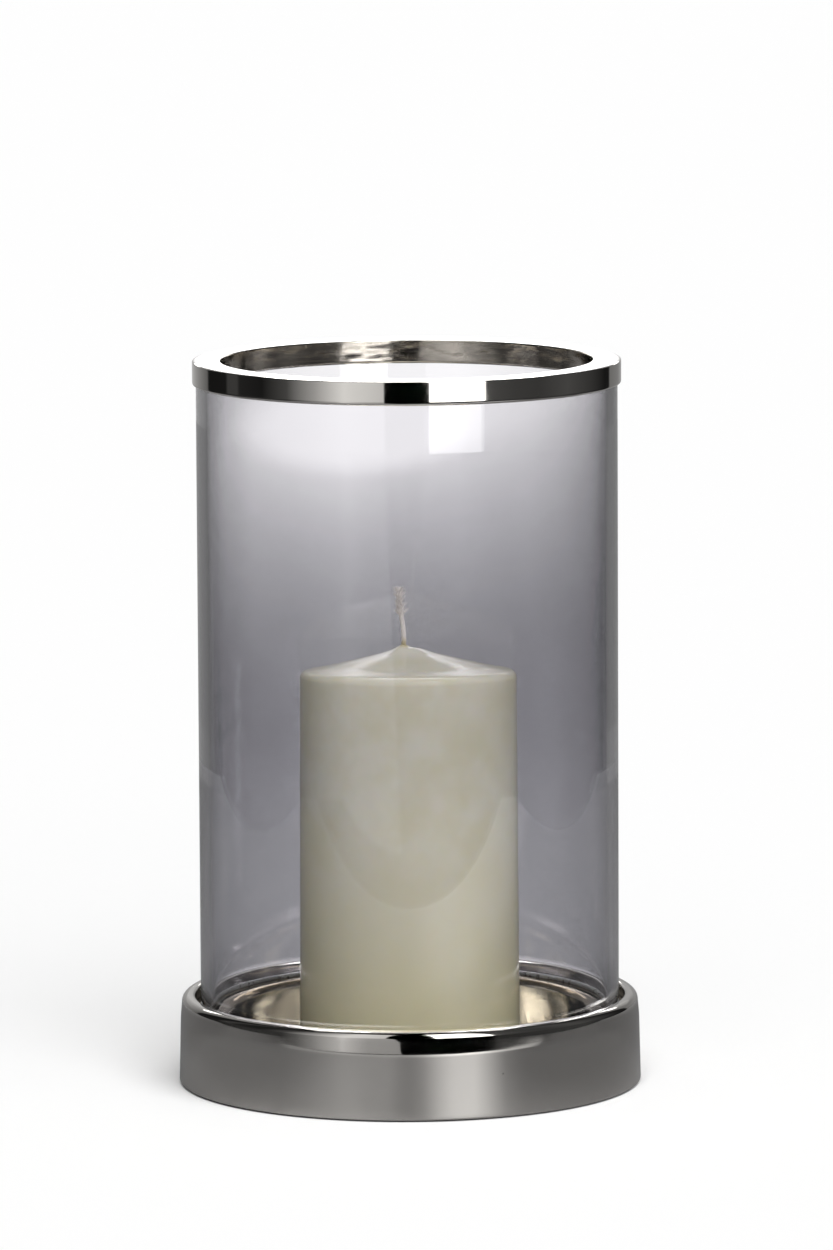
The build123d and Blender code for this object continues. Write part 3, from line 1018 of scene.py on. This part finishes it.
class LAMP_OT_stage(bpy.types.Operator):
    """Set up the camera, the floor, the soft light and the reflector cards"""

    bl_idname = "lamp.stage"
    bl_label = "Stage"
    floor_span = (-20.0, 20.0)
    floor_z = -0.1 * MM
    table_x, table_y, table_z = (-0.68, 0.68), (-0.522, 0.8), 0.3 * MM
    table_tones = (0.275, 0.275, 0.28, 1.0), (0.305, 0.305, 0.31, 1.0)
    table_front_tone = (0.87, 0.87, 0.87, 1.0)
    table_sheen = {"Roughness": 0.32, "Specular IOR Level": 0.3}
    surround_split = 0.155
    # Curved cards: radius, foot and top in metres, then glow by azimuth in degrees, which is 0 towards
    # the camera and positive to the right
    curved_cards = {
        "low_surround": (0.8, table_z, surround_split, (
            (-180, 0.33), (-170, 0.4), (-160, 0.33), (-130, 0.15), (-128, 0.01), (-97, 0.03), (-64, 0.04),
            (-56, 0.12), (-48, 0.26), (-40, 0.45), (-34, 0.58), (-11.5, 0.3), (-11.4, 0.0), (40, 0.0),
            (41, 0.03), (92, 0.05), (128, 0.012), (134, 0.012), (136, 0.22), (152, 0.27), (168, 0.33),
            (180, 0.33),
        )),
        "high_surround": (0.8, surround_split, 1.7, (
            (-180, 0.45), (-170, 0.6), (-160, 0.45), (-130, 0.15), (-128, 0.01), (-109, 0.012),
            (-107, 0.055), (-99, 0.055), (-97, 0.02), (-80, 0.013), (-64, 0.075), (-48, 0.42),
            (-32, 0.93), (-11.5, 0.72), (-11.4, 0.0), (11.4, 0.0), (11.5, 3.0), (40, 3.0), (41, 0.085),
            (56, 0.06), (72, 0.05), (92, 0.08), (112, 0.045), (128, 0.012), (134, 0.012), (136, 0.2),
            (152, 0.24), (168, 0.42), (180, 0.45),
        )),
        "back_panel": (0.78, 0.39, 0.47, ((146, 0.8), (154, 3.2), (206, 3.2), (214, 0.8))),
        "low_back_panel": (0.78, 0.25, 0.39, (
            (146, 0.3), (172, 0.6), (176, 3.2), (184, 3.2), (188, 0.6), (214, 0.3),
        )),
    }
    # Cards that show only after two mirror bounces: far off by way of the table, near by way of the tray
    second_cards = {
        "far_second_surround": (0.75, table_z, 0.3, (
            (-180, 0.0), (-64, 0.0), (-48, 0.2), (-32, 0.6), (-20, 0.4), (-11, 0.2), (0, 0.0), (6, 0.24),
            (13, 1.26), (20, 2.2), (30, 2.46), (40, 1.0), (46, 0.28), (56, 0.0), (180, 0.0),
        )),
        "near_second_surround": (0.115, 0.033, 0.12, (
            (-180, 0.04), (-100, 0.15), (-91, 1.0), (-83, 0.15), (-66, 0.2), (-52, 2.8), (-43, 5.8),
            (-12, 6.5), (-3, 3.4), (6, 1.2), (28, 1.6), (40, 1.4), (54, 0.1), (83, 0.02), (88, 6.0),
            (95, 7.2), (103, 0.4), (180, 0.04),
        )),
    }
    # Flat cards: reach along X and Y, height and glow
    flat_cards = {
        "dark_ceiling": ((-0.85, 0.85), (-0.85, 0.0), 1.7, 0.0),
        "overhead_panel": ((-0.4, 0.4), (0.3, 0.9), 1.0, 14.0),
        "dark_floor": ((-2.0, 2.0), (-2.0, 2.0), 0.2 * MM, 0.02),
    }
    # Front board: glow by place along X
    board_plan = ((-0.46, 0.52), (-0.41, 0.65), (-0.24, 0.38), (-0.13, 0.34))
    board_y = -0.655
    board_slant = 0.09
    board_top_gain = 1.35

    def camera(self, context):
        """Camera at the photograph's angle."""
        stage = context.scene.lamp_stage
        lens = bpy.data.cameras.new("camera")
        lens.lens = stage.camera_lens
        lens.sensor_width = 36.0
        lens.clip_end = 100.0
        camera = bpy.data.objects.new("camera", lens)
        context.scene.collection.objects.link(camera)
        place = Matrix.Translation((0.0, -stage.camera_distance, stage.camera_height))
        aim = Matrix.Rotation(-stage.camera_yaw, 4, "Z")
        tip = Matrix.Rotation(math.pi / 2 - stage.camera_pitch, 4, "X")
        roll = Matrix.Rotation(-stage.camera_roll, 4, "Z")
        camera.matrix_world = place @ aim @ tip @ roll
        context.scene.camera = camera

    def add_stage(self, name, vertices, faces, material):
        """Mesh object that belongs to the stage."""
        mesh = bpy.data.meshes.new(name)
        mesh.from_pydata(vertices, [], faces)
        mesh.materials.append(material)
        card = bpy.data.objects.new(name, mesh)
        bpy.context.scene.collection.objects.link(card)
        card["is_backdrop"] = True
        return card

    def floor(self, stage):
        """Wide pale floor that throws back less light than it shows."""
        shader = Shader("pale_floor")
        tone = shader.mixed(shader.shown(), rgba(stage.floor_bounce), rgba(stage.floor_colour))
        material = shader.finish(shader.add("BsdfDiffuse", {"Color": tone}))
        self.add_stage("floor", *level_sheet(self.floor_span, self.floor_span, self.floor_z), material)

    def mirrored_only(self, shader, surface, bounces=1):
        """Mixes a surface with clear, so that it shows only after so many mirror bounces."""
        depth = shader.add("LightPath").outputs["Glossy Depth"]
        seen = shader.maths("SUBTRACT", depth, bounces - 1, clamp=True)
        clear = shader.add("BsdfTransparent")
        return shader.add("MixShader", {0: seen, 1: clear, 2: surface})

    def card_material(self, name, bounces=1):
        """Reflector whose glow is kept in its mesh."""
        shader = Shader(name)
        glow = shader.add("Attribute", attribute_name="glow").outputs["Fac"]
        surface = shader.add("Emission", {"Color": WHITE, "Strength": glow})
        material = shader.finish(self.mirrored_only(shader, surface, bounces))
        material.cycles.emission_sampling = "NONE"
        return material

    def table_material(self):
        """Grey table top that only mirrors see, with painted shade round the lamp and pale in front."""
        shader = Shader("grey_table")
        x, y, _ = shader.split(shader.place())
        tone = shader.mixed(shader.cloud(shader.place(), scale=30.0), *self.table_tones)
        # Painted shade of the lamp on the table: darker beside it, to its right and behind it, fading out
        # further back
        aside = shader.ranged(shader.maths("ABSOLUTE", x), 0.03, 0.17, 0.0, 0.28)
        right = shader.ranged(x, 0.02, 0.16, 0.0, 0.36)
        behind = shader.ranged(y, -0.04, 0.08, 0.0, 0.45)
        shade = shader.maths("MAXIMUM", shader.maths("MAXIMUM", aside, right), behind)
        shade = shader.times(shade, shader.ranged(y, 0.14, 0.24, 1.0, 0.0))
        tone = shader.mixed(shade, tone, BLACK)
        front = shader.ranged(y, -0.36, -0.26, 1.0, 0.0)
        front = shader.times(front, shader.ranged(x, -0.06, 0.12, 0.25, 1.0))
        tone = shader.mixed(front, tone, self.table_front_tone)
        surface = shader.add("BsdfPrincipled", {"Base Color": tone, **self.table_sheen})
        return shader.finish(self.mirrored_only(shader, surface))

    def bend(self, plan, step=2.0):
        """Azimuths and glows along a plan, with no step wider than given."""
        for (start, glow), (end, end_glow) in zip(plan, plan[1:]):
            pieces = max(1, math.ceil((end - start) / step))
            for piece in range(pieces):
                share = piece / pieces
                yield start + share * (end - start), glow + share * (end_glow - glow)
        yield plan[-1]

    def curved_card(self, name, radius, low, high, plan, material):
        """Upright curved card round the lamp that follows a plan of glows."""
        vertices, glows = [], []
        for azimuth, glow in self.bend(plan):
            angle = math.radians(azimuth)
            x, y = radius * math.sin(angle), -radius * math.cos(angle)
            vertices += [(x, y, low), (x, y, high)]
            glows += [glow, glow]
        self.strip(name, vertices, glows, material)

    def board(self, material):
        """Upright flat board in front of the table, to the left."""
        vertices, glows = [], []
        end = self.board_plan[-1][0]
        for x, glow in self.board_plan:
            foot_x = x + self.board_slant * (x == end)
            vertices += [(foot_x, self.board_y, self.table_z), (x, self.board_y, self.surround_split)]
            glows += [glow, self.board_top_gain * glow]
        self.strip("front_board", vertices, glows, material)

    def strip(self, name, vertices, glows, material):
        """Reflector card from a row of low and high corners."""
        faces = [(low, low + 2, low + 3, low + 1) for low in range(0, len(vertices) - 2, 2)]
        self.add_card(name, vertices, faces, glows, material)

    def flat_card(self, name, x_range, y_range, z, glow, material):
        """Level card over or under the lamp."""
        vertices, faces = level_sheet(x_range, y_range, z)
        self.add_card(name, vertices, faces, [glow] * len(vertices), material)

    def add_card(self, name, vertices, faces, glows, material):
        """Reflector card with a glow at each vertex."""
        card = self.add_stage(name, vertices, faces, material)
        attribute = card.data.attributes.new("glow", "FLOAT", "POINT")
        attribute.data.foreach_set("value", glows)
        self.hide_from_light(card)

    def hide_from_light(self, card):
        """Keeps a card out of the camera's sight and out of the lighting."""
        card.visible_camera = False
        card.visible_diffuse = False
        card.visible_shadow = False

    def cards(self):
        """Reflector cards and the table that the metal and glass mirror."""
        first = self.card_material("reflector_card")
        second = self.card_material("second_reflector_card", bounces=2)
        for name, form in self.curved_cards.items():
            self.curved_card(name, *form, first)
        for name, form in self.second_cards.items():
            self.curved_card(name, *form, second)
        for name, form in self.flat_cards.items():
            self.flat_card(name, *form, first)
        self.board(first)
        sheet = level_sheet(self.table_x, self.table_y, self.table_z)
        self.hide_from_light(self.add_stage("table", *sheet, self.table_material()))

    def sun(self, context, name, strength, elevation, azimuth, spread):
        """Soft light from a direction in degrees, out of sight of mirrors and glass."""
        lamp = bpy.data.lights.new(name, "SUN")
        lamp.energy = strength
        lamp.angle = math.radians(spread)
        holder = bpy.data.objects.new(name, lamp)
        context.scene.collection.objects.link(holder)
        holder.rotation_euler = (math.radians(90 - elevation), 0.0, math.radians(azimuth))
        holder.visible_glossy = False
        holder.visible_transmission = False

    def light(self, context):
        """Soft key and fill lights from the front and an even sky that looks white."""
        stage = context.scene.lamp_stage
        self.sun(context, "key_light", stage.key_strength, elevation=50, azimuth=16, spread=60)
        self.sun(context, "fill_light", stage.fill_strength, elevation=12, azimuth=20, spread=40)
        sky = Shader("white_studio", world=True)
        strength = sky.ranged(sky.shown(), 0.0, 1.0, stage.sky_strength, 1.0, smooth=False)
        glow = sky.add("Background", {"Color": WHITE, "Strength": strength})
        context.scene.world = sky.finish(glow)

    def execute(self, context):
        self.camera(context)
        self.floor(context.scene.lamp_stage)
        self.cards()
        self.light(context)
        context.scene.view_settings.view_transform = "Standard"
        return {"FINISHED"}


class LAMP_PT_pieces(bpy.types.Panel):
    """Lists the steps that build the lamp"""

    bl_idname = "LAMP_PT_pieces"
    bl_label = "Candle Lamp"
    bl_space_type = "VIEW_3D"
    bl_region_type = "UI"
    bl_category = "Candle Lamp"

    def draw(self, context):
        for step in STEPS:
            self.layout.operator(step.bl_idname)


SETTINGS = {
    "lamp_metal": LampMetalSettings,
    "lamp_glass": LampGlassSettings,
    "lamp_candle": LampCandleSettings,
    "lamp_stage": LampStageSettings,
}
STEPS = (
    LAMP_OT_stage,
    LAMP_OT_base_ring,
    LAMP_OT_drip_tray,
    LAMP_OT_underside,
    LAMP_OT_soft_rings,
    LAMP_OT_glass_shade,
    LAMP_OT_top_ring,
    LAMP_OT_candle,
    LAMP_OT_wick,
)


def register():
    """Registers the settings, the steps and the panel."""
    for name, settings in SETTINGS.items():
        bpy.utils.register_class(settings)
        setattr(bpy.types.Scene, name, PointerProperty(type=settings))
    for step in STEPS:
        bpy.utils.register_class(step)
    bpy.utils.register_class(LAMP_PT_pieces)


def unregister():
    """Takes back what register did."""
    bpy.utils.unregister_class(LAMP_PT_pieces)
    for step in reversed(STEPS):
        bpy.utils.unregister_class(step)
    for name, settings in SETTINGS.items():
        delattr(bpy.types.Scene, name)
        bpy.utils.unregister_class(settings)


def main():
    """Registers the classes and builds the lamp."""
    register()
    bpy.ops.lamp.stage()
    bpy.ops.lamp.base_ring()
    bpy.ops.lamp.drip_tray()
    bpy.ops.lamp.underside()
    bpy.ops.lamp.soft_rings()
    bpy.ops.lamp.glass_shade()
    bpy.ops.lamp.top_ring()
    bpy.ops.lamp.candle()
    bpy.ops.lamp.wick()
    boxes = {"cad": CAD_BOX, "visual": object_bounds()}
    {name: [list(low), list(high)] for name, (low, high) in boxes.items()}


if __name__ == "__main__":
    main()
